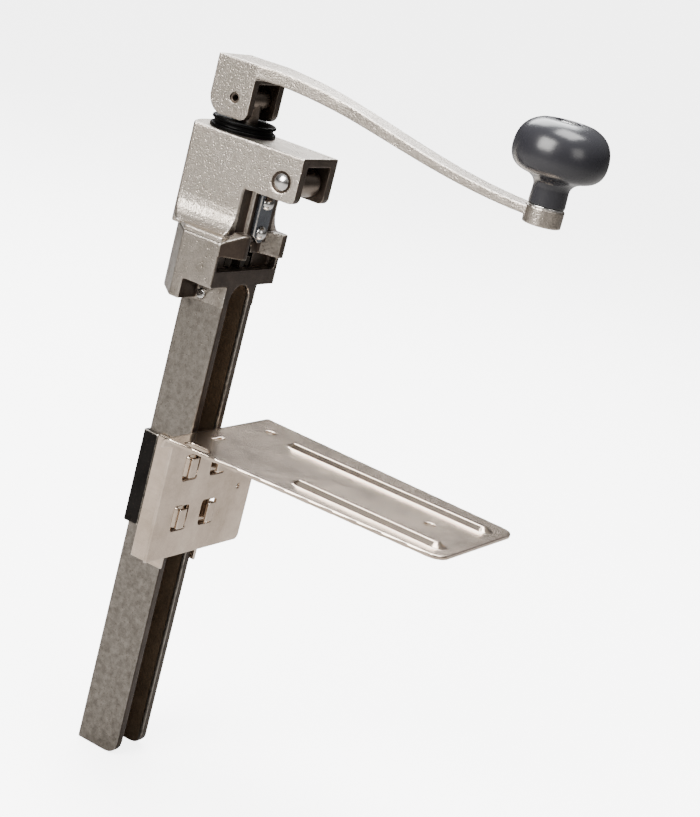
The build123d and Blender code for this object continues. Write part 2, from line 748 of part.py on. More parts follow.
# ---- crank and knob -----------------------------------------------------------------------------
with BuildPart() as crank_arm:
    back_y = spindle_y + clevis_back
    front_y = spindle_y - clevis_front
    ear_bottom = pin_z - clevis_below_pin
    with BuildSketch(Plane.YZ.offset(-clevis_half)):
        with BuildLine():
            Polyline(
                (front_y, clevis_top),
                (back_y, clevis_top),
                (back_y, ear_bottom),
                (front_y, ear_bottom),
                close=True,
            )
        make_face()
        # in the sketch's own axes: X is the opener's Y, and Y is its Z
        fillet(vertices().group_by(Axis.X)[-1].sort_by(Axis.Y)[0], clevis_corner)
        fillet(vertices().group_by(Axis.X)[0].sort_by(Axis.Y)[0], clevis_front_corner)
    extrude(amount=2 * clevis_half)
    with BuildSketch(Plane.YZ.offset(-clevis_half + clevis_ear)):
        with Locations((spindle_y, clevis_top - bridge_thickness)):
            Rectangle(80, 60, align=(Align.CENTER, Align.MAX))
    extrude(amount=2 * (clevis_half - clevis_ear), mode=Mode.SUBTRACT)
    arm_tip_y = knob_y + boss_radius * 0.7
    arm_end_z = clevis_top - arm_drop
    arm_mid = (spindle_y - crank_radius * 0.51, clevis_top - arm_drop / 2)
    under_mid = (arm_mid[0] - 1.5, arm_mid[1] - (arm_root_thickness + arm_tip_thickness) / 2)
    with BuildSketch(Plane.YZ.offset(-clevis_half)):
        with BuildLine():
            start = (front_y + 1, clevis_top)
            finish = (arm_tip_y, arm_end_z)
            under_start = (front_y + 1, clevis_top - arm_root_thickness)
            under_finish = (arm_tip_y, arm_end_z - arm_tip_thickness)
            Spline(start, arm_mid, finish, tangents=((-1, 0), (-1, -0.03)))
            Line(finish, under_finish)
            Spline(under_start, under_mid, under_finish, tangents=((-1, 0), (-1, -0.03)))
            Line(under_start, start)
        make_face()
    extrude(amount=2 * clevis_half)
    with BuildSketch(Plane.XY.offset(boss_bottom - 5)):
        with BuildLine():
            root_y = front_y - arm_shoulder
            Polyline(
                (clevis_half, back_y + 1),
                (clevis_half, front_y),
                (arm_half_root, root_y),
                (arm_half_tip, root_y - arm_taper),
                (arm_half_tip, knob_y),
                (-arm_half_tip, knob_y),
                (-arm_half_tip, root_y - arm_taper),
                (-arm_half_root, root_y),
                (-clevis_half, front_y),
                (-clevis_half, back_y + 1),
                close=True,
            )
        make_face()
    extrude(amount=clevis_top - boss_bottom + 10, mode=Mode.INTERSECT)
    with BuildSketch(Plane.XY.offset(boss_bottom)):
        with Locations((0, knob_y)):
            Circle(boss_radius)
    extrude(amount=boss_top - boss_bottom)
    with BuildSketch(Plane.XY.offset(boss_bottom)):
        with Locations((0, knob_y)):
            Circle(stud_radius)
    extrude(amount=boss_top - boss_bottom, mode=Mode.SUBTRACT)
    with BuildSketch(Plane.YZ.offset(-clevis_half)):
        with Locations((spindle_y, pin_z)):
            Circle(pin_radius)
    extrude(amount=2 * clevis_half, mode=Mode.SUBTRACT)
crank_arm.part.label = "crank_arm"

with BuildPart() as crank_pin:
    with BuildSketch(Plane.YZ.offset(-clevis_half + pin_recess)):
        with Locations((spindle_y, pin_z)):
            Circle(pin_radius)
            Circle(pin_radius - pin_wall, mode=Mode.SUBTRACT)
    extrude(amount=2 * (clevis_half - pin_recess))
crank_pin.part.label = "crank_pin"

with BuildPart() as knob_washer:
    with BuildSketch(Plane.XY.offset(boss_top)):
        with Locations((0, knob_y)):
            Circle(knob_neck_radius - 0.3)
            Circle(stud_radius + 0.1, mode=Mode.SUBTRACT)
    extrude(amount=knob_washer_thickness)
knob_washer.part.label = "knob_washer"

with BuildPart() as knob_stud:
    with BuildSketch(Plane.XY.offset(boss_bottom)):
        with Locations((0, knob_y)):
            Circle(stud_radius)
    extrude(amount=stud_head_z - boss_bottom)
    with BuildSketch(Plane.XY.offset(stud_head_z)):
        with Locations((0, knob_y)):
            Circle(stud_head_radius)
    extrude(amount=stud_head_height)
    fillet(edges().filter_by(GeomType.CIRCLE).group_by(Axis.Z)[-1], stud_head_height * 0.7)
knob_stud.part.label = "knob_stud"

with BuildPart() as knob:
    with BuildSketch(Plane.XZ.offset(-knob_y)):
        with BuildLine():
            neck = (knob_neck_radius, knob_bottom)
            waist = (knob_neck_radius - 0.3, knob_bottom + knob_height * 0.19)
            under = (knob_radius * 0.62, knob_bottom + knob_height * 0.32)
            widest = (knob_radius, knob_bottom + knob_height * 0.60)
            top = (knob_recess_radius + 1.5, knob_bottom + knob_height)
            bore = stud_radius + 0.08
            recess_z = knob_bottom + knob_height - knob_recess_depth
            Line(neck, waist)
            Spline(waist, under, widest, tangents=((0, 1), (0, 1)))
            Spline(widest, top, tangents=((0, 1), (-1, 0.1)))
            Polyline(
                top,
                (knob_recess_radius, knob_bottom + knob_height - 0.6),
                (knob_recess_radius, recess_z),
                (bore, recess_z),
                (bore, knob_bottom),
                neck,
            )
        make_face()
    revolve(axis=Axis((0, knob_y, 0), (0, 0, 1)))
knob.part.label = "knob"

for piece in (
    base_plate,
    sleeve_channel,
    rear_strap,
    slide_bar,
    head_casting,
    head_screws,
    spindle_bush,
    stop_pin,
    knife,
    knife_screws,
    roller_pin,
    roller,
    collar,
    spindle,
    drive_gear,
    gear_washer,
    gear_screw,
    crank_arm,
    crank_pin,
    knob_washer,
    knob_stud,
    knob,
):
    export_step(piece.part, f"parts/{piece.part.label}.step")
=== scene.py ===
"""The looks of a table-edge manual can opener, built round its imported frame.

Each sub-assembly is a class that builds and dresses its own pieces. Sizes are in metres, places come
from the frame's nodes, and -Y points away from the bar, over the table.
"""
import logging
from dataclasses import dataclass, field
from enum import Enum
from math import cos, pi, radians, sin
from typing import Iterable, Sequence

import bmesh
import bpy
from mathutils import Matrix, Vector


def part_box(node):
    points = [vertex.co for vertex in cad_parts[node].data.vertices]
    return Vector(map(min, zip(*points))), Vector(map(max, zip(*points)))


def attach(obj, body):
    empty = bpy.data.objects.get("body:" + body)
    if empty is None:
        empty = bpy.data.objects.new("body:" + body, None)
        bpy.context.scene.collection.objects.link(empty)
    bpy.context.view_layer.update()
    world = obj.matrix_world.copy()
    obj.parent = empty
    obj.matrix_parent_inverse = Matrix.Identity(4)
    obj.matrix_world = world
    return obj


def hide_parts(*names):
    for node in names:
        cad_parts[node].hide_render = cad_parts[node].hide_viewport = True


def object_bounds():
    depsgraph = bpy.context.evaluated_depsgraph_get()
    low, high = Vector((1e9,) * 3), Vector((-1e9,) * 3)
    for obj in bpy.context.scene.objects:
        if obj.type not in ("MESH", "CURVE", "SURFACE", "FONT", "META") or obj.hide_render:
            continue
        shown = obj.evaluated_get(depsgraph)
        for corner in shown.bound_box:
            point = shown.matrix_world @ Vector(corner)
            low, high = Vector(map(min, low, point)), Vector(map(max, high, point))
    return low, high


Colour = tuple[float, float, float]
MM = 0.001
LOG = logging.getLogger("can_opener")

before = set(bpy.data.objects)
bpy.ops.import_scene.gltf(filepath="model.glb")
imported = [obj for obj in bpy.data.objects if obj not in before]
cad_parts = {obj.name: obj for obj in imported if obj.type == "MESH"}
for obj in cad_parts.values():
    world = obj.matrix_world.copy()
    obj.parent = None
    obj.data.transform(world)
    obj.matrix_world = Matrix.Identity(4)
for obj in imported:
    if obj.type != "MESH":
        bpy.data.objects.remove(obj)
CAD_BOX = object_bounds()


class Axis(Enum):
    """The direction that a turned piece's axis runs in."""

    X = Vector((1, 0, 0))
    Y = Vector((0, 1, 0))
    Z = Vector((0, 0, 1))


# ---- node trees -----------------------------------------------------------------------------------
class Graph:
    """Lays nodes in one shader tree and links them by socket."""

    def __init__(self, tree: bpy.types.NodeTree) -> None:
        """Keep the tree that the nodes go in."""
        self.tree = tree

    def add(self, kind: str, inputs: dict | None = None, **settings: object) -> bpy.types.Node:
        """Place one node.

        Args:
            kind: The node's type, without its ShaderNode prefix.
            inputs: Values or output sockets, by input name or index.
            settings: Attributes of the node itself.

        Returns:
            The new node.
        """
        node = self.tree.nodes.new("ShaderNode" + kind)
        for name, value in settings.items():
            setattr(node, name, value)
        for key, value in (inputs or {}).items():
            if isinstance(value, bpy.types.NodeSocket):
                self.tree.links.new(value, node.inputs[key])
            else:
                node.inputs[key].default_value = value
        return node

    def math(self, operation: str, first: object, second: object = 0.0) -> bpy.types.NodeSocket:
        """Join two values with one arithmetic step and return the result's socket."""
        return self.add("Math", {0: first, 1: second}, operation=operation).outputs[0]

    def blend(self, share: object, low: object, high: object, kind: str = "MIX") -> bpy.types.NodeSocket:
        """Mix two colours by a mask.

        Args:
            share: How much of the second colour shows.
            low: The first colour.
            high: The second colour.
            kind: The blend type.

        Returns:
            The mixed colour's socket.
        """
        node = self.add("Mix", {0: share, 6: low, 7: high}, data_type="RGBA", blend_type=kind)
        return node.outputs[2]

    def spread(self, value: object, low: float, high: float, to_low: object,
               to_high: object) -> bpy.types.NodeSocket:
        """Map a value from one range to another, clamped, and return its socket."""
        places = {0: value, 1: low, 2: high, 3: to_low, 4: to_high}
        return self.add("MapRange", places).outputs[0]


def rgba(colour: Colour) -> tuple[float, float, float, float]:
    """Give a colour its full alpha."""
    return (*colour, 1.0)


class Effect:
    """A shader node group that several finishes share. Subclasses fill it once."""

    name = "effect"
    inputs: tuple[tuple[str, float], ...] = ()
    outputs: tuple[str, ...] = ("Mask",)

    @classmethod
    def group(cls) -> bpy.types.NodeTree:
        """Return the group, building it the first time."""
        found = bpy.data.node_groups.get(cls.name)
        if found:
            return found
        tree = bpy.data.node_groups.new(cls.name, "ShaderNodeTree")
        tree.interface.new_socket("Vector", in_out="INPUT", socket_type="NodeSocketVector")
        for label, value in cls.inputs:
            socket = tree.interface.new_socket(label, in_out="INPUT", socket_type="NodeSocketFloat")
            socket.default_value = value
        for label in cls.outputs:
            tree.interface.new_socket(label, in_out="OUTPUT", socket_type="NodeSocketFloat")
        graph = Graph(tree)
        source = tree.nodes.new("NodeGroupInput")
        sink = tree.nodes.new("NodeGroupOutput")
        for label, socket in zip(cls.outputs, cls.fill(graph, source.outputs), strict=True):
            tree.links.new(socket, sink.inputs[label])
        return tree

    @classmethod
    def fill(cls, graph: Graph, given: bpy.types.NodeOutputs) -> tuple[bpy.types.NodeSocket, ...]:
        """Lay the group's nodes and return one socket for each output."""
        raise NotImplementedError

    @classmethod
    def place(cls, graph: Graph, vector: bpy.types.NodeSocket, **values: float) -> bpy.types.NodeOutputs:
        """Put the group in a material.

        Args:
            graph: The material's graph.
            vector: Where the pattern is read.
            values: The group's own inputs, by name with underscores for spaces.

        Returns:
            The group node's outputs.
        """
        inputs = {"Vector": vector} | {key.replace("_", " "): value for key, value in values.items()}
        node = graph.tree.nodes.new("ShaderNodeGroup")
        node.node_tree = cls.group()
        for key, value in inputs.items():
            if isinstance(value, bpy.types.NodeSocket):
                graph.tree.links.new(value, node.inputs[key])
            else:
                node.inputs[key].default_value = value
        return node.outputs


class Mottle(Effect):
    """Cloudy patches, as tumbling and handling leave on plated metal."""

    name = "mottle"
    inputs = (("Scale", 80.0), ("Contrast", 0.3))

    @classmethod
    def fill(cls, graph: Graph, given: bpy.types.NodeOutputs) -> tuple[bpy.types.NodeSocket, ...]:
        """Sharpen a rough noise round its middle."""
        noise = graph.add("TexNoise", {"Vector": given["Vector"], "Scale": given["Scale"], "Detail": 7.0,
                                       "Roughness": 0.68})
        low = graph.math("SUBTRACT", 0.5, given["Contrast"])
        high = graph.math("ADD", 0.5, given["Contrast"])
        return (graph.add("MapRange", {0: noise.outputs[0], 1: low, 2: high}).outputs[0],)


class CastGrain(Effect):
    """The sandy skin of a casting: fine grains with a few deeper pits."""

    name = "cast_grain"
    inputs = (("Scale", 900.0), ("Pits", 0.4))
    outputs = ("Height", "Pit")

    @classmethod
    def fill(cls, graph: Graph, given: bpy.types.NodeOutputs) -> tuple[bpy.types.NodeSocket, ...]:
        """Add a coarse ripple to the grains and take the pits away."""
        fine = graph.add("TexNoise", {"Vector": given["Vector"], "Scale": given["Scale"], "Detail": 3.0})
        coarse_scale = graph.math("MULTIPLY", given["Scale"], 0.22)
        coarse = graph.add("TexNoise", {"Vector": given["Vector"], "Scale": coarse_scale, "Detail": 4.0})
        cell_scale = graph.math("MULTIPLY", given["Scale"], 0.45)
        cells = graph.add("TexVoronoi", {"Vector": given["Vector"], "Scale": cell_scale})
        pit = graph.spread(cells.outputs[0], 0.08, 0.26, 1.0, 0.0)
        pit = graph.math("MULTIPLY", pit, given["Pits"])
        body = graph.math("ADD", fine.outputs[0], coarse.outputs[0])
        return graph.math("SUBTRACT", body, pit), pit


class EdgeWearAndHollowShade(Effect):
    """Where edges stand proud and rub bright, broken up by a little noise, and the hollows, which the
    finishes darken as painted shade.
    """

    name = "edge_wear_and_hollow_shade"
    inputs = (("Reach", 0.06),)
    outputs = ("Mask", "Recess")

    @classmethod
    def fill(cls, graph: Graph, given: bpy.types.NodeOutputs) -> tuple[bpy.types.NodeSocket, ...]:
        """Read how pointed the surface is, both ways: proud edges for wear, sunken hollows for painted shade.
        """
        shape = graph.add("NewGeometry").outputs["Pointiness"]
        noise = graph.add("TexNoise", {"Vector": given["Vector"], "Scale": 260.0, "Detail": 5.0})
        edge = graph.math("SUBTRACT", shape, 0.5)
        broken = graph.spread(noise.outputs[0], 0.35, 0.65, 0.35, 1.0)
        proud = graph.add("MapRange", {0: edge, 1: 0.022, 2: given["Reach"]}).outputs[0]
        worn = graph.math("MULTIPLY", proud, broken)
        # The hollow mask says where the finishes paint shade.
        hollow = graph.math("MULTIPLY", edge, -1.0)
        return worn, graph.add("MapRange", {0: hollow, 1: 0.008, 2: 0.05}).outputs[0]


class RollingLines(Effect):
    """Fine lines along one direction, as rolling, drawing or turning leaves."""

    name = "rolling_lines"
    inputs = (("Scale", 60.0), ("Stretch", 0.02))

    @classmethod
    def fill(cls, graph: Graph, given: bpy.types.NodeOutputs) -> tuple[bpy.types.NodeSocket, ...]:
        """Stretch a noise along the vector's first axis."""
        scale = graph.add("CombineXYZ", {0: given["Stretch"], 1: 1.0, 2: 1.0})
        drawn = graph.add("VectorMath", {0: given["Vector"], 1: scale.outputs[0]}, operation="MULTIPLY")
        noise = graph.add("TexNoise", {"Vector": drawn.outputs[0], "Scale": given["Scale"], "Detail": 6.0,
                                       "Roughness": 0.7})
        return (graph.spread(noise.outputs[0], 0.3, 0.7, 0.0, 1.0),)


# ---- finishes -------------------------------------------------------------------------------------
@dataclass(frozen=True)
class MetalFinish:
    """A metal surface: two mottled tones, bright worn edges, grime in the pits, painted shade in the hollows
    and a grain.
    """

    name: str
    base: Colour
    shade: Colour
    # Dark colour for grime in the casting pits and for painted shade in the hollows.
    pit_grime_and_hollow_shade: Colour = (0.07, 0.05, 0.035)
    bright: Colour = (0.86, 0.83, 0.79)
    roughness: tuple[float, float] = (0.28, 0.46)
    patch_scale: float = 90.0
    patch_contrast: float = 0.22
    grain_scale: float = 900.0
    grain_depth: float = 0.06 * MM
    pits: float = 0.35
    wear: float = 0.6
    # How strongly the hollows take painted shade.
    hollow_shade: float = 0.7
    lines: float = 0.0
    line_scale: float = 900.0
    turn: tuple[float, float, float] = (0.0, 0.0, 0.0)
    metal: float = 1.0
    specks: float = 0.45

    def material(self) -> bpy.types.Material:
        """Return the finish's material, building it the first time."""
        found = bpy.data.materials.get(self.name)
        if found:
            return found
        made = bpy.data.materials.new(self.name)
        made.use_nodes = True
        graph = Graph(made.node_tree)
        shader = made.node_tree.nodes["Principled BSDF"]
        shader.inputs["Metallic"].default_value = self.metal
        coordinate = graph.add("TexCoord").outputs["Object"]
        vector = graph.add("Mapping", {"Vector": coordinate, "Rotation": self.turn}).outputs[0]
        patches = Mottle.place(graph, vector, Scale=self.patch_scale, Contrast=self.patch_contrast)[0]
        speckle = Mottle.place(graph, vector, Scale=self.patch_scale * 9, Contrast=0.26)[0]
        height, pit = CastGrain.place(graph, vector, Scale=self.grain_scale, Pits=self.pits)
        worn, hollow = EdgeWearAndHollowShade.place(graph, vector, Reach=0.07)
        drawn = RollingLines.place(graph, vector, Scale=self.line_scale, Stretch=0.02)[0]
        colour = graph.blend(patches, rgba(self.base), rgba(self.shade))
        fleck = tuple(part * 0.5 for part in self.shade)
        colour = graph.blend(graph.math("MULTIPLY", speckle, self.specks), colour, rgba(fleck))
        colour = graph.blend(graph.math("MULTIPLY", drawn, self.lines * 0.6), colour, rgba(fleck))
        # Grime in the pits, then painted shade in the hollows, both towards the dark colour.
        colour = graph.blend(graph.math("MULTIPLY", pit, 0.6), colour, rgba(self.pit_grime_and_hollow_shade))
        colour = graph.blend(graph.math("MULTIPLY", hollow, self.hollow_shade), colour, rgba(self.pit_grime_and_hollow_shade))
        colour = graph.blend(graph.math("MULTIPLY", worn, self.wear), colour, rgba(self.bright))
        tones = graph.math("ADD", graph.math("MULTIPLY", patches, 0.6), graph.math("MULTIPLY", speckle, 0.4))
        rough = graph.spread(tones, 0.0, 1.0, self.roughness[0], self.roughness[1])
        rough = graph.math("SUBTRACT", rough, graph.math("MULTIPLY", worn, 0.08))
        relief = graph.math("ADD", height, graph.math("MULTIPLY", drawn, self.lines))
        bump = graph.add("Bump", {"Height": relief, "Distance": self.grain_depth, "Strength": 1.0})
        made.node_tree.links.new(colour, shader.inputs["Base Color"])
        made.node_tree.links.new(rough, shader.inputs["Roughness"])
        made.node_tree.links.new(bump.outputs[0], shader.inputs["Normal"])
        return made


@dataclass(frozen=True)
class PlasticFinish:
    """A moulded plastic surface with a faint skin and handling marks in its gloss."""

    name: str
    base: Colour
    scuffed: Colour
    roughness: tuple[float, float] = (0.3, 0.42)
    grain_depth: float = 0.02 * MM
    gloss: float = 0.3

    def material(self) -> bpy.types.Material:
        """Return the finish's material, building it the first time."""
        found = bpy.data.materials.get(self.name)
        if found:
            return found
        made = bpy.data.materials.new(self.name)
        made.use_nodes = True
        graph = Graph(made.node_tree)
        shader = made.node_tree.nodes["Principled BSDF"]
        shader.inputs["Specular IOR Level"].default_value = self.gloss
        vector = graph.add("TexCoord").outputs["Object"]
        smears = Mottle.place(graph, vector, Scale=70.0, Contrast=0.2)[0]
        height = CastGrain.place(graph, vector, Scale=2200.0, Pits=0.1)[0]
        worn = EdgeWearAndHollowShade.place(graph, vector, Reach=0.1)[0]
        colour = graph.blend(graph.math("MULTIPLY", smears, 0.5), rgba(self.base), rgba(self.scuffed))
        rubbed = tuple(3 * part for part in self.scuffed)
        colour = graph.blend(graph.math("MULTIPLY", worn, 0.3), colour, rgba(rubbed))
        rough = graph.spread(smears, 0.0, 1.0, self.roughness[0], self.roughness[1])
        bump = graph.add("Bump", {"Height": height, "Distance": self.grain_depth, "Strength": 1.0})
        made.node_tree.links.new(colour, shader.inputs["Base Color"])
        made.node_tree.links.new(rough, shader.inputs["Roughness"])
        made.node_tree.links.new(bump.outputs[0], shader.inputs["Normal"])
        return made


class Finish(Enum):
    """Every finish on the opener."""

    SHEET = MetalFinish("plated_sheet_metal", (0.80, 0.675, 0.56), (0.46, 0.365, 0.285),
                        roughness=(0.13, 0.3), patch_scale=26.0, grain_scale=500.0,
                        grain_depth=0.012 * MM, pits=0.0, wear=0.5, lines=0.35,
                        turn=(0, 0, pi / 2), specks=0.2)
    # The rear strap's dark charcoal tone.
    STRAP = MetalFinish("dark_strap", (0.022, 0.02, 0.019), (0.011, 0.01, 0.0095), bright=(0.62, 0.57, 0.5),
                        roughness=(0.34, 0.5), wear=0.9, grain_depth=0.02 * MM)
    HOUSING = MetalFinish("tumbled_housing", (0.50, 0.45, 0.395), (0.25, 0.22, 0.188), roughness=(0.26, 0.46),
                          patch_scale=90.0, patch_contrast=0.16, grain_depth=0.2 * MM, pits=0.7, specks=0.55)
    BAR = MetalFinish("tumbled_bar", (0.34, 0.31, 0.275), (0.14, 0.125, 0.108), roughness=(0.3, 0.5),
                      patch_scale=240.0, patch_contrast=0.2, grain_depth=0.11 * MM, pits=0.7,
                      specks=0.6)
    # Dark brown tone painted as shade on the bar's and housing's faces that look to -Y.
    RAIL = MetalFinish("rail_face", (0.075, 0.055, 0.042), (0.034, 0.024, 0.018), roughness=(0.32, 0.52),
                       patch_scale=100.0, bright=(0.66, 0.6, 0.52), grain_depth=0.06 * MM, metal=0.7)
    GROOVE = MetalFinish("bar_groove", (0.20, 0.14, 0.09), (0.10, 0.067, 0.042), roughness=(0.4, 0.62),
                         patch_scale=70.0, bright=(0.5, 0.42, 0.33), grain_depth=0.06 * MM, metal=0.25)
    CASTING = MetalFinish("nickel_casting", (0.68, 0.615, 0.545), (0.38, 0.335, 0.285),
                          roughness=(0.22, 0.42), patch_scale=75.0, grain_scale=1000.0,
                          grain_depth=0.22 * MM, pits=0.7, wear=0.8, specks=0.5)
    # Dark casting tone: painted shade on the head's throat, roller pocket, pin seats and underside, and on
    # the crank's underside and clevis; the crank pin is finished in it too.
    UNDERCUT = MetalFinish("undercut_casting", (0.085, 0.062, 0.046), (0.04, 0.028, 0.02),
                           roughness=(0.34, 0.54), patch_scale=90.0, bright=(0.62, 0.55, 0.47),
                           grain_depth=0.1 * MM, metal=0.6)
    BRIGHT = MetalFinish("bright_zinc", (0.80, 0.79, 0.77), (0.62, 0.61, 0.60), roughness=(0.14, 0.26),
                         grain_depth=0.01 * MM, pits=0.0, patch_scale=200.0)
    BRONZE = MetalFinish("oiled_bronze", (0.52, 0.35, 0.18), (0.34, 0.22, 0.11), roughness=(0.3, 0.45),
                         grain_depth=0.02 * MM)
    BLADE = MetalFinish("blade_steel", (0.22, 0.235, 0.26), (0.12, 0.13, 0.15), roughness=(0.2, 0.34),
                        grain_depth=0.015 * MM, pits=0.1, lines=0.4, wear=0.95, turn=(0, pi / 2, 0))
    GEAR = MetalFinish("gear_steel", (0.05, 0.043, 0.038), (0.022, 0.019, 0.016), roughness=(0.3, 0.48),
                       grain_depth=0.03 * MM, bright=(0.5, 0.46, 0.41), wear=0.5)
    TURNED = MetalFinish("turned_steel", (0.36, 0.30, 0.25), (0.20, 0.16, 0.13), roughness=(0.24, 0.4),
                         grain_depth=0.02 * MM, pits=0.1, lines=0.4, turn=(0, 0, pi / 2))
    COLLAR = PlasticFinish("collar_plastic", (0.0006, 0.0006, 0.0006), (0.0013, 0.00125, 0.0012), (0.3, 0.42),
                           gloss=0.07)
    KNOB = PlasticFinish("knob_plastic", (0.0005, 0.0005, 0.00055), (0.0011, 0.0011, 0.0012), (0.26, 0.36),
                         gloss=0.05)


# ---- mesh work ------------------------------------------------------------------------------------
def centre(node: str) -> Vector:
    """The middle of a node's box."""
    low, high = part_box(node)
    return (low + high) / 2


def merged_copy(node: str) -> bmesh.types.BMesh:
    """Copy a node's mesh with its loose triangles joined at their corners."""
    mesh = bmesh.new()
    mesh.from_mesh(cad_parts[node].data)
    bmesh.ops.remove_doubles(mesh, verts=mesh.verts, dist=0.002 * MM)
    return mesh


def skinned_copy(node: str, cell: float, rounds: int, keep: float = 1.0) -> bmesh.types.BMesh:
    """Copy a node under an even skin, whose edges are then rubbed round.

    Args:
        node: The CAD node to copy.
        cell: The side of the skin's cells.
        rounds: How many times the skin is smoothed.
        keep: The share of faces that is kept, largest on the edges.

    Returns:
        A closed bmesh that lies inside the node's box.
    """
    mesh = merged_copy(node)
    cell *= 1.0
    data = bpy.data.meshes.new("skin")
    mesh.to_mesh(data)
    mesh.free()
    shape = bpy.data.objects.new("skin", data)
    bpy.context.scene.collection.objects.link(shape)
    remesh = shape.modifiers.new("skin", "REMESH")
    remesh.mode, remesh.voxel_size, remesh.adaptivity = "VOXEL", cell, 0.0
    smooth = shape.modifiers.new("rub", "SMOOTH")
    smooth.factor, smooth.iterations = 0.5, rounds
    if keep < 1.0:
        thin = shape.modifiers.new("thin", "DECIMATE")
        thin.ratio = keep
    evaluated = shape.evaluated_get(bpy.context.evaluated_depsgraph_get())
    result = bmesh.new()
    result.from_mesh(evaluated.to_mesh())
    evaluated.to_mesh_clear()
    bpy.data.objects.remove(shape)
    bpy.data.meshes.remove(data)
    low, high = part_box(node)
    for vert in result.verts:
        vert.co = Vector(min(max(c, a), b) for c, a, b in zip(vert.co, low, high))
    return result


def spun(profile: Sequence[tuple[float, float]], origin: Vector, axis: Axis, steps: int) -> bmesh.types.BMesh:
    """Turn a profile about an axis into a closed piece.

    Args:
        profile: Radius and height of each point, from the foot of the axis to its top.
        origin: Where the axis starts.
        axis: Which way the axis runs.
        steps: How many facets the turn has.

    Returns:
        The turned mesh, with its poles merged.
    """
    mesh = bmesh.new()
    across = Vector((0, 1, 0)) if axis is Axis.X else Vector((1, 0, 0))
    verts = [mesh.verts.new(origin + across * radius + axis.value * height) for radius, height in profile]
    edges = [mesh.edges.new(pair) for pair in zip(verts, verts[1:])]
    bmesh.ops.spin(mesh, geom=verts + edges, cent=origin, axis=axis.value, angle=2 * pi, steps=steps,
                   use_merge=True, use_duplicate=False)
    bmesh.ops.remove_doubles(mesh, verts=mesh.verts, dist=0.004 * MM)
    bmesh.ops.recalc_face_normals(mesh, faces=mesh.faces)
    return mesh


def arc(start: tuple[float, float], bend: tuple[float, float], end: tuple[float, float], count: int) -> list:
    """Points along a smooth curve that heads for a bend point, from just after its start to its end."""
    points = []
    for step in range(1, count + 1):
        t = step / count
        shares = ((1 - t) ** 2, 2 * t * (1 - t), t ** 2)
        points.append(tuple(sum(s * p[i] for s, p in zip(shares, (start, bend, end))) for i in (0, 1)))
    return points


class SubAssembly:
    """Pieces that ride on one body, and the finishing that they share."""

    body = "base"

    def dress(self, mesh: bmesh.types.BMesh, name: str, slot: str, finishes: Iterable[Finish],
              replaces: Sequence[str] = ()) -> bpy.types.Object:
        """Turn a bmesh into a finished piece that rides on this body.

        Args:
            mesh: The shape, which is freed.
            name: The piece's name.
            slot: The record's material slot; not used.
            finishes: The finish of each material index in the mesh.
            replaces: The CAD nodes that the piece stands for.

        Returns:
            The new object.
        """
        data = bpy.data.meshes.new(name)
        mesh.to_mesh(data)
        mesh.free()
        data.shade_smooth()
        data.set_sharp_from_angle(angle=radians(38))
        piece = bpy.data.objects.new(name, data)
        bpy.context.scene.collection.objects.link(piece)
        for finish in finishes:
            data.materials.append(finish.value.material())
        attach(piece, self.body)
        if replaces:
            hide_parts(*replaces)
        LOG.info("%s: %d faces on %s", name, len(data.polygons), self.body)
        return piece

    def skin(self, node: str, slot: str, finish: Finish, cell: float, rounds: int = 3,
             keep: float = 1.0) -> bpy.types.Object:
        """Stand in for a CAD node with a skinned copy.

        Args:
            node: The CAD node.
            slot: The record's material slot.
            finish: The finish of the piece.
            cell: The side of the skin's cells.
            rounds: How many times the skin is smoothed.
            keep: The share of faces that is kept.

        Returns:
            The new object.
        """
        mesh = skinned_copy(node, cell, rounds, keep)
        return self.dress(mesh, node + "_finished", slot, [finish], [node])


@dataclass
class Base(SubAssembly):
    """The pressed base plate with its apron, the sleeve channel and the rear strap."""

    body = "base"
    cell: float = 0.6 * MM

    def build(self) -> None:
        """Build and dress the whole base."""
        self.skin("base_plate", "plated_sheet", Finish.SHEET, self.cell, 4, 0.5)
        self.skin("sleeve_channel", "plated_sheet", Finish.SHEET, self.cell, 2, 0.5)
        self.skin("rear_strap", "dark_steel", Finish.STRAP, self.cell, 3, 0.6)


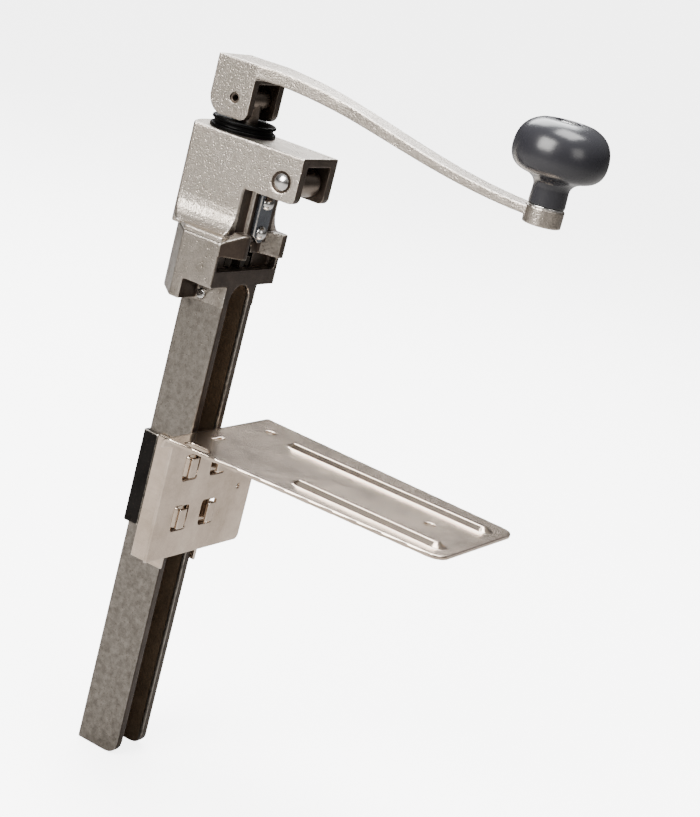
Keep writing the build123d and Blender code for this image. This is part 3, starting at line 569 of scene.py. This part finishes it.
@dataclass
class Carriage(SubAssembly):
    """The bar and head castings, with the knife, the roller's pin and the small fasteners."""

    body = "carriage"
    cell: float = 0.75 * MM
    head_cell: float = 0.6 * MM
    fine: float = 0.25 * MM
    seat_radius: float = 6.5 * MM
    roller_gap: float = 2.5 * MM
    nose_wall: float = 6.0 * MM
    roof_wall: float = 5.0 * MM
    pocket_depth: float = 4.0 * MM
    rail_width: float = 8.3 * MM
    housing_foot: float = 92.0 * MM
    step_foot: float = 79.0 * MM

    def build(self) -> None:
        """Build and dress everything that slides as one."""
        self.bar()
        self.head()
        self.skin("knife", "tool_steel", Finish.BLADE, self.fine, 2)
        self.skin("knife_screws", "bright_steel", Finish.BRIGHT, self.fine, 2)
        self.skin("roller_pin", "bright_steel", Finish.BRIGHT, self.fine, 2)
        self.skin("stop_pin", "bright_steel", Finish.BRIGHT, self.fine, 2)
        self.skin("head_screws", "bright_steel", Finish.BRIGHT, self.fine, 2)
        self.skin("spindle_bush", "bronze", Finish.BRONZE, 0.4 * MM, 2)

    def head(self) -> None:
        """The head casting, whose throat, roller pocket, pin seats and underside get painted shade, darker
        than its sides.
        """
        low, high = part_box("roller")
        pin = centre("roller_pin")
        pocket_half = (high.x - low.x) / 2 + self.roller_gap
        throat_half = pocket_half + self.nose_wall
        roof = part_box("head_casting")[1].z - self.roof_wall
        mesh = skinned_copy("head_casting", self.head_cell, 5, 0.6)
        for face in mesh.faces:
            place = face.calc_center_median()
            from_pin = Vector((0, place.y - pin.y, place.z - pin.z)).length
            facing = face.normal.y < -0.75 and abs(place.x) < throat_half
            pocket = abs(place.x) < pocket_half and place.y < high.y + self.pocket_depth and place.z < roof
            under = face.normal.z < -0.7
            # Painted shade: faces that look to -Y in the throat, the roller pocket, undersides and the pin
            # seats take the dark finish.
            face.material_index = int(facing or pocket or under or from_pin < self.seat_radius)
        finishes = [Finish.CASTING, Finish.UNDERCUT]
        self.dress(mesh, "head_casting_finished", "cast_nickel", finishes, ["head_casting"])

    def bar(self) -> None:
        """The bar and gear housing, with darker rail faces painted as shade and a brown groove."""
        low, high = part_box("rear_strap")
        groove_half = (high.x - low.x) / 2 - self.rail_width
        blade_y = centre("knife").y
        mesh = skinned_copy("slide_bar", self.cell, 3, 0.6)
        for face in mesh.faces:
            place = face.calc_center_median()
            if place.z < self.housing_foot:
                inside = abs(place.x) < groove_half and place.y > blade_y + 5 * MM
                if inside and place.y < high.y - 7 * MM:
                    face.material_index = 2
                # Faces that look to -Y take the dark rail finish, as painted shade.
                elif face.normal.y < -0.8:
                    face.material_index = 1
                elif place.z > self.step_foot:
                    face.material_index = 3
            # Above the housing's foot, the faces that look to -Y and the faces at its front, except its
            # sides, take painted shade.
            elif face.normal.y < -0.5 or place.y < blade_y + 3 * MM and abs(face.normal.x) < 0.5:
                face.material_index = 1
            else:
                face.material_index = 3
        finishes = [Finish.BAR, Finish.RAIL, Finish.GROOVE, Finish.HOUSING]
        self.dress(mesh, "slide_bar_finished", "cast_grey", finishes, ["slide_bar"])


@dataclass
class Roller(SubAssembly):
    """The roller that the can's rim rides under."""

    body = "roller_wheel"

    def build(self) -> None:
        """Round the roller's edges."""
        self.skin("roller", "machined_steel", Finish.TURNED, 0.35 * MM, 2)


@dataclass
class Turntable(SubAssembly):
    """The plastic collar under the crank."""

    body = "turntable"

    def build(self) -> None:
        """Round the collar's rims."""
        self.skin("collar", "black_plastic", Finish.COLLAR, 0.3 * MM, 2)


@dataclass
class Drive(SubAssembly):
    """The spindle with its gear, washer and screw."""

    body = "drive"

    def build(self) -> None:
        """Build the pieces that lift and turn together."""
        self.skin("spindle", "machined_steel", Finish.TURNED, 0.4 * MM, 2)
        self.skin("drive_gear", "tool_steel", Finish.GEAR, 0.35 * MM, 2)
        self.skin("gear_washer", "bright_steel", Finish.BRIGHT, 0.25 * MM, 2)
        self.skin("gear_screw", "bright_steel", Finish.BRIGHT, 0.25 * MM, 2)


@dataclass
class Crank(SubAssembly):
    """The cast crank with its hollow hinge pin, and the stud that carries the knob."""

    body = "crank"
    cell: float = 0.5 * MM
    clevis_reach: float = 14.0 * MM
    bridge: float = 9.5 * MM
    ear_gap: float = 1.0 * MM

    def build(self) -> None:
        """Build the crank and what is fixed in it."""
        self.arm()
        self.skin("crank_pin", "tool_steel", Finish.UNDERCUT, 0.25 * MM, 1)
        self.skin("knob_washer", "bright_steel", Finish.BRIGHT, 0.2 * MM, 1)
        self.skin("knob_stud", "bright_steel", Finish.BRIGHT, 0.25 * MM, 2)

    def arm(self) -> None:
        """The crank's casting, with painted shade on its underside and inside its clevis, darker than its
        top.
        """
        clevis_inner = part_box("spindle")[1].x + self.ear_gap
        hinge = centre("crank_pin")
        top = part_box("crank_arm")[1].z
        mesh = skinned_copy("crank_arm", self.cell, 6, 0.8)
        for face in mesh.faces:
            place = face.calc_center_median()
            in_clevis = place.y > hinge.y - self.clevis_reach and place.z < top - self.bridge
            inside = in_clevis and abs(place.x) < clevis_inner
            edge = in_clevis and face.normal.y < -0.75
            # Painted shade: the clevis's inside, its faces that look to -Y and the underside take the dark
            # finish.
            face.material_index = int(inside or edge or face.normal.z < -0.5)
        finishes = [Finish.CASTING, Finish.UNDERCUT]
        self.dress(mesh, "crank_arm_finished", "cast_nickel", finishes, ["crank_arm"])


@dataclass
class Grip(SubAssembly):
    """The flattened mushroom knob."""

    body = "grip"
    neck_radius: float = 10.5 * MM
    recess_radius: float = 7.2 * MM
    recess_depth: float = 3.2 * MM
    bore_radius: float = 4.08 * MM

    def build(self) -> None:
        """Turn the knob from its profile."""
        low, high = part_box("knob")
        radius, tall = (high.x - low.x) / 2, high.z - low.z
        origin = Vector(((low.x + high.x) / 2, (low.y + high.y) / 2, low.z))
        profile = [(self.bore_radius, 0.0), (self.neck_radius - 0.6 * MM, 0.0)]
        profile += arc(profile[-1], (self.neck_radius, 0.0), (self.neck_radius, 0.6 * MM), 4)
        waist = (self.neck_radius - 0.3 * MM, tall * 0.2)
        profile += [waist]
        profile += arc(waist, (self.neck_radius, tall * 0.31), (radius * 0.66, tall * 0.345), 8)
        profile += arc(profile[-1], (radius, tall * 0.39), (radius, tall * 0.61), 14)
        profile += arc(profile[-1], (radius, tall * 0.90), (radius * 0.55, tall * 0.985), 14)
        lip = (self.recess_radius + 1.0 * MM, tall)
        profile += arc(profile[-1], (radius * 0.42, tall), lip, 5)
        profile += arc(lip, (self.recess_radius, tall), (self.recess_radius, tall - 0.9 * MM), 4)
        floor = tall - self.recess_depth
        profile += [(self.recess_radius, floor), (self.bore_radius, floor), (self.bore_radius, 0.0)]
        mesh = spun(profile, origin, Axis.Z, 96)
        self.dress(mesh, "knob_finished", "knob_plastic", [Finish.KNOB], ["knob"])


# ---- stage ----------------------------------------------------------------------------------------
@dataclass
class Studio:
    """A pale floor, soft lights and the camera."""

    azimuth: float = radians(-61.16)
    elevation: float = radians(15.32)
    roll: float = radians(14.75)
    distance: float = 1.154
    lens: float = 85.94
    target: Vector = field(default_factory=lambda: Vector((4.05, 7.65, 47.06)) * MM)
    floor_radius: float = 60.0

    def build(self) -> None:
        """Set out the floor, the world, the lights and the camera."""
        self.floor()
        self.world()
        self.light("key", -104, 30, 1.7, 1.0, 62.0, (1.0, 0.98, 0.95))
        self.light("front_fill", -24, 24, 2.2, 0.9, 9.0, (1.0, 0.97, 0.93))
        self.light("back_rim", 130, 46, 1.9, 1.2, 60.0, (0.97, 0.985, 1.0))
        self.light("overhead", 0, 84, 1.8, 1.0, 58.0, (1.0, 1.0, 1.0))
        self.camera()

    def floor(self) -> None:
        """A wide pale disc just under the bar's foot."""
        mesh = bmesh.new()
        bmesh.ops.create_circle(mesh, cap_ends=True, radius=self.floor_radius, segments=64)
        level = CAD_BOX[0].z - 0.5 * MM
        bmesh.ops.translate(mesh, vec=(0, 0, level), verts=mesh.verts)
        data = bpy.data.meshes.new("floor")
        mesh.to_mesh(data)
        mesh.free()
        disc = bpy.data.objects.new("floor", data)
        bpy.context.scene.collection.objects.link(disc)
        pale = bpy.data.materials.new("pale_floor")
        pale.use_nodes = True
        graph = Graph(pale.node_tree)
        noise = graph.add("TexNoise", {"Vector": graph.add("TexCoord").outputs["Object"], "Scale": 3.0})
        seen = graph.add("LightPath").outputs["Is Camera Ray"]
        pale_tone = graph.blend(noise.outputs[0], (0.93, 0.925, 0.92, 1), (0.96, 0.955, 0.95, 1))
        tone = graph.blend(seen, (0.35, 0.34, 0.33, 1), pale_tone)
        lift = graph.blend(seen, (0, 0, 0, 1), (1.0, 1.0, 1.0, 1))
        shader = pale.node_tree.nodes["Principled BSDF"]
        pale.node_tree.links.new(lift, shader.inputs["Emission Color"])
        shader.inputs["Emission Strength"].default_value = 4.6
        shader.inputs["Roughness"].default_value = 0.9
        shader.inputs["Specular IOR Level"].default_value = 0.1
        pale.node_tree.links.new(tone, shader.inputs["Base Color"])
        data.materials.append(pale)

    def world(self) -> None:
        """A soft sky that is brighter overhead than at the horizon."""
        sky = bpy.data.worlds.new("studio_sky")
        bpy.context.scene.world = sky
        sky.use_nodes = True
        graph = Graph(sky.node_tree)
        coordinate = graph.add("TexCoord").outputs["Generated"]
        parts = graph.add("SeparateXYZ", {0: coordinate})
        up = graph.spread(parts.outputs[2], 0.05, 0.8, 0.0, 1.0)
        tone = graph.blend(up, (0.035, 0.03, 0.027, 1), (0.42, 0.42, 0.42, 1))
        tone = graph.blend(graph.add("LightPath").outputs["Is Camera Ray"], tone, (4.4, 4.37, 4.33, 1))
        background = sky.node_tree.nodes["Background"]
        background.inputs["Strength"].default_value = 1.15
        sky.node_tree.links.new(tone, background.inputs["Color"])

    def light(self, name: str, azimuth: float, elevation: float, distance: float, size: float, power: float,
              colour: Colour) -> None:
        """Hang one square soft light that faces the object.

        Args:
            name: The light's name.
            azimuth: Where it stands round the object, in degrees, as a camera's is.
            elevation: How high it stands, in degrees.
            distance: How far it stands from the target.
            size: The length of its side.
            power: Its power in watts.
            colour: Its colour.
        """
        lamp = bpy.data.lights.new(name, "AREA")
        lamp.size, lamp.energy, lamp.color = size, power, colour
        stand = bpy.data.objects.new(name, lamp)
        bpy.context.scene.collection.objects.link(stand)
        turn, rise = radians(azimuth), radians(elevation)
        away = Vector((sin(turn) * cos(rise), -cos(turn) * cos(rise), sin(rise)))
        stand.location = self.target + away * distance
        stand.rotation_euler = away.to_track_quat("Z", "Y").to_euler()

    def camera(self) -> None:
        """Place the camera, rolled about its own line of sight."""
        lens = bpy.data.cameras.new("camera")
        lens.lens, lens.sensor_width = self.lens, 36.0
        lens.clip_start, lens.clip_end = 0.01, 200.0
        camera = bpy.data.objects.new("camera", lens)
        bpy.context.scene.collection.objects.link(camera)
        back = Vector((sin(self.azimuth) * cos(self.elevation), -cos(self.azimuth) * cos(self.elevation),
                       sin(self.elevation)))
        right = Vector((cos(self.azimuth), sin(self.azimuth), 0))
        up = back.cross(right)
        turned_right = right * cos(self.roll) + up * sin(self.roll)
        turned_up = up * cos(self.roll) - right * sin(self.roll)
        pose = Matrix((turned_right, turned_up, back)).transposed().to_4x4()
        pose.translation = self.target + back * self.distance
        camera.matrix_world = pose
        bpy.context.scene.camera = camera


def main() -> None:
    """Build the studio and every sub-assembly, in order."""
    logging.basicConfig(level=logging.INFO, format="%(message)s")
    Studio().build()
    for assembly in (Base(), Carriage(), Roller(), Turntable(), Drive(), Crank(), Grip()):
        assembly.build()


if __name__ == "__main__":
    main()
